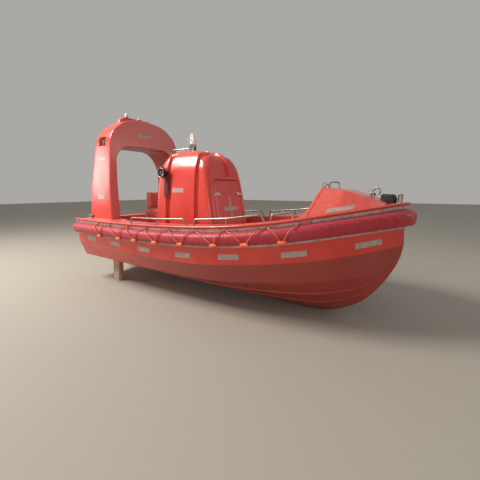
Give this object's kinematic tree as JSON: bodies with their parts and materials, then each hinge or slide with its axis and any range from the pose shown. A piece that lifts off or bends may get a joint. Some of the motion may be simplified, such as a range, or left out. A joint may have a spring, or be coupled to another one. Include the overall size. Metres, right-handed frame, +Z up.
{
  "type": "open fast rescue lifeboat",
  "caption": "Open rigid rescue boat with a foam fender round the gunwale, a goal-post arch, a moulded engine console, a foredeck locker and a waterjet, on timber blocks.",
  "frame": {"origin": "on the ground under the middle of the boat's overall length, on the centreline", "axes": "+X to the bow, +Y to port, +Z up"},
  "size_m": [5.732, 2.5234, 3.1237],
  "materials": {
    "grp_orange": "gelcoated glass-reinforced plastic, semi-gloss",
    "grp_deck": "gelcoat with a moulded non-slip pattern",
    "fender_cover": "coated fabric over foam, wrinkled, satin",
    "grey_strip": "extruded grey strip, screwed on",
    "stainless": "polished stainless tube, slightly dulled",
    "lamp_white": "clear white lens on a dark base",
    "lens_green": "green lens",
    "lens_red": "red lens",
    "hook_white": "white painted forging, worn at the edges",
    "black_plastic": "textured black plastic",
    "black_rubber": "matt black rubber",
    "seat_vinyl": "orange-red vinyl, fine grain",
    "bag_fabric": "black woven bag cloth",
    "grab_line": "orange laid rope with foam floats",
    "engine_paint": "grey engine enamel",
    "cast_alloy": "as-cast marine aluminium",
    "timber": "rough sawn weathered timber"
  },
  "bodies": {
    "boat": {"hull": "grp_orange", "deck_moulding": "grp_deck", "fender": "fender_cover", "fender_strip_upper": "grey_strip", "fender_strip_lower": "grey_strip", "arch": "grp_orange", "arch_lamp": "lamp_white", "nav_light_starboard": "lens_green", "nav_light_port": "lens_red", "console_casing": "grp_orange", "console_rail_starboard": "stainless", "console_rail_port": "stainless", "hook_base": "stainless", "hook_head": "hook_white", "searchlight": "black_plastic", "searchlight_strap": "black_rubber", "helm_panel": "black_plastic", "throttle": "black_plastic", "seat_box": "grp_orange", "seat_cushion": "seat_vinyl", "seat_back": "seat_vinyl", "foredeck_locker": "grp_orange", "foredeck_rail": "stainless", "foredeck_cleat": "stainless", "painter_release": "stainless", "drogue_bag": "bag_fabric", "bow_bollard": "stainless", "engine": "engine_paint", "waterjet": "cast_alloy", "gunwale_rail_starboard_1": "stainless", "gunwale_rail_starboard_2": "stainless", "gunwale_rail_starboard_3": "stainless", "grab_line_starboard": "grab_line", "stern_cleat_starboard": "stainless", "timber_block_starboard": "timber", "gunwale_rail_port_1": "stainless", "gunwale_rail_port_2": "stainless", "gunwale_rail_port_3": "stainless", "grab_line_port": "grab_line", "stern_cleat_port": "stainless", "timber_block_port": "timber"},
    "wheel_body": {"steering_wheel": "black_rubber"},
    "nozzle_body": {"steering_nozzle": "cast_alloy"},
    "bucket_body": {"reverse_bucket": "cast_alloy"},
    "hatch_body": {"console_hatch": "grp_orange", "hatch_latch_starboard": "stainless", "hatch_latch_port": "stainless"},
    "door_body": {"foredeck_door": "grp_orange"}
  },
  "joints": [
    {"name": "steering_turn", "type": "hinge", "parent": "boat", "child": "wheel_body", "pos_m": [-1.105, 0, 1.4], "axis": [-0.9394, 0, 0.3429], "range_deg": [-540, 540]},
    {"name": "nozzle_steer", "type": "hinge", "parent": "boat", "child": "nozzle_body", "pos_m": [-2.659, 0, 0.42], "axis": [0, 0, 1], "range_deg": [-27, 27]},
    {"name": "bucket_lower", "type": "hinge", "parent": "nozzle_body", "child": "bucket_body", "pos_m": [-2.7298, 0, 0.47], "axis": [0, -1, 0], "range_deg": [0, 85]},
    {"name": "hatch_fold", "type": "hinge", "parent": "boat", "child": "hatch_body", "pos_m": [0.30926, 0, 0.758], "axis": [0, 1, 0], "range_deg": [0, 90]},
    {"name": "door_lift", "type": "hinge", "parent": "boat", "child": "door_body", "pos_m": [1.758, 0, 1.614], "axis": [0, 1, 0], "range_deg": [0, 100]}
  ],
  "couplings": [
    {"joint": "nozzle_steer", "follows": "steering_turn", "ratio": -0.05}
  ]
}
